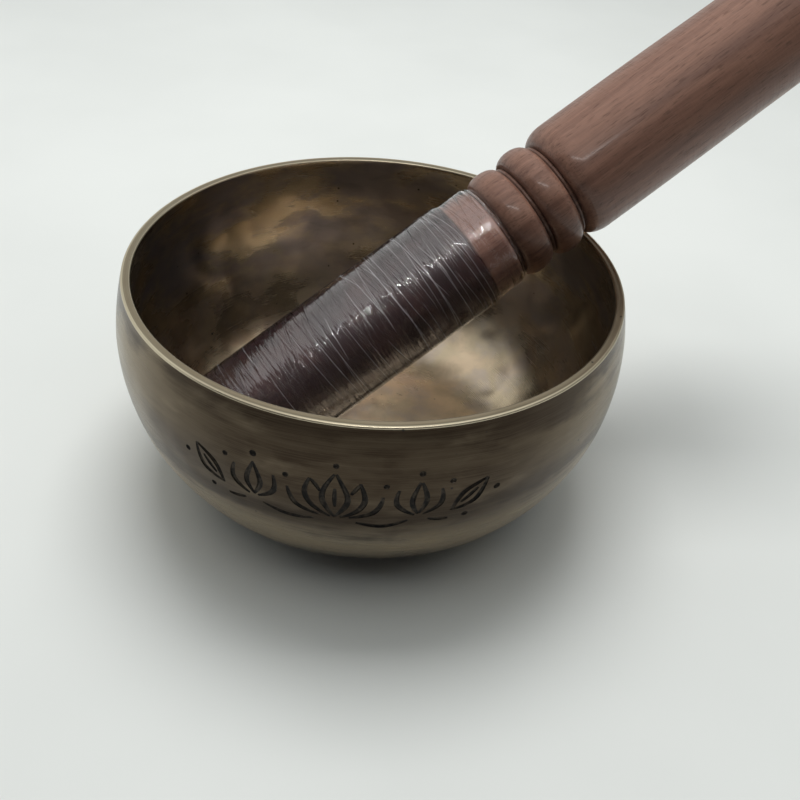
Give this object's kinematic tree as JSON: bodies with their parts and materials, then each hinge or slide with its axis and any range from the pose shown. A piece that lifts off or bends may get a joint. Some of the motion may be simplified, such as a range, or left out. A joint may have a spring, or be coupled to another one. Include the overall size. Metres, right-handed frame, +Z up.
{
  "type": "singing bowl",
  "caption": "Hand-hammered metal singing bowl with a carved band, and a leather-wrapped turned wooden mallet that leans in it and lifts out.",
  "frame": {"origin": "centre of the bowl's flat foot, on the surface it stands on", "axes": "+Z up along the bowl's axis; -Y towards the ornamented front; the mallet's handle leans out towards +X and +Y"},
  "size_m": [0.1826, 0.1337, 0.1257],
  "materials": {
    "bowl_metal": "aged bell metal, hand hammered and brushed, with darkened carved ornament",
    "mallet_wood": "turned reddish-brown hardwood, satin oil",
    "mallet_leather": "dark maroon smooth leather",
    "mallet_film": "clear glossy stretch film, finely wrinkled"
  },
  "bodies": {
    "bowl": {"bowl": "bowl_metal"},
    "mallet": {"mallet_wood": "mallet_wood", "mallet_leather": "mallet_leather", "mallet_film": "mallet_film"}
  },
  "joints": [
    {"name": "mallet_lift", "type": "slide", "parent": "bowl", "child": "mallet", "axis": [0, 0, 1], "range_m": [0, 0.1]}
  ]
}
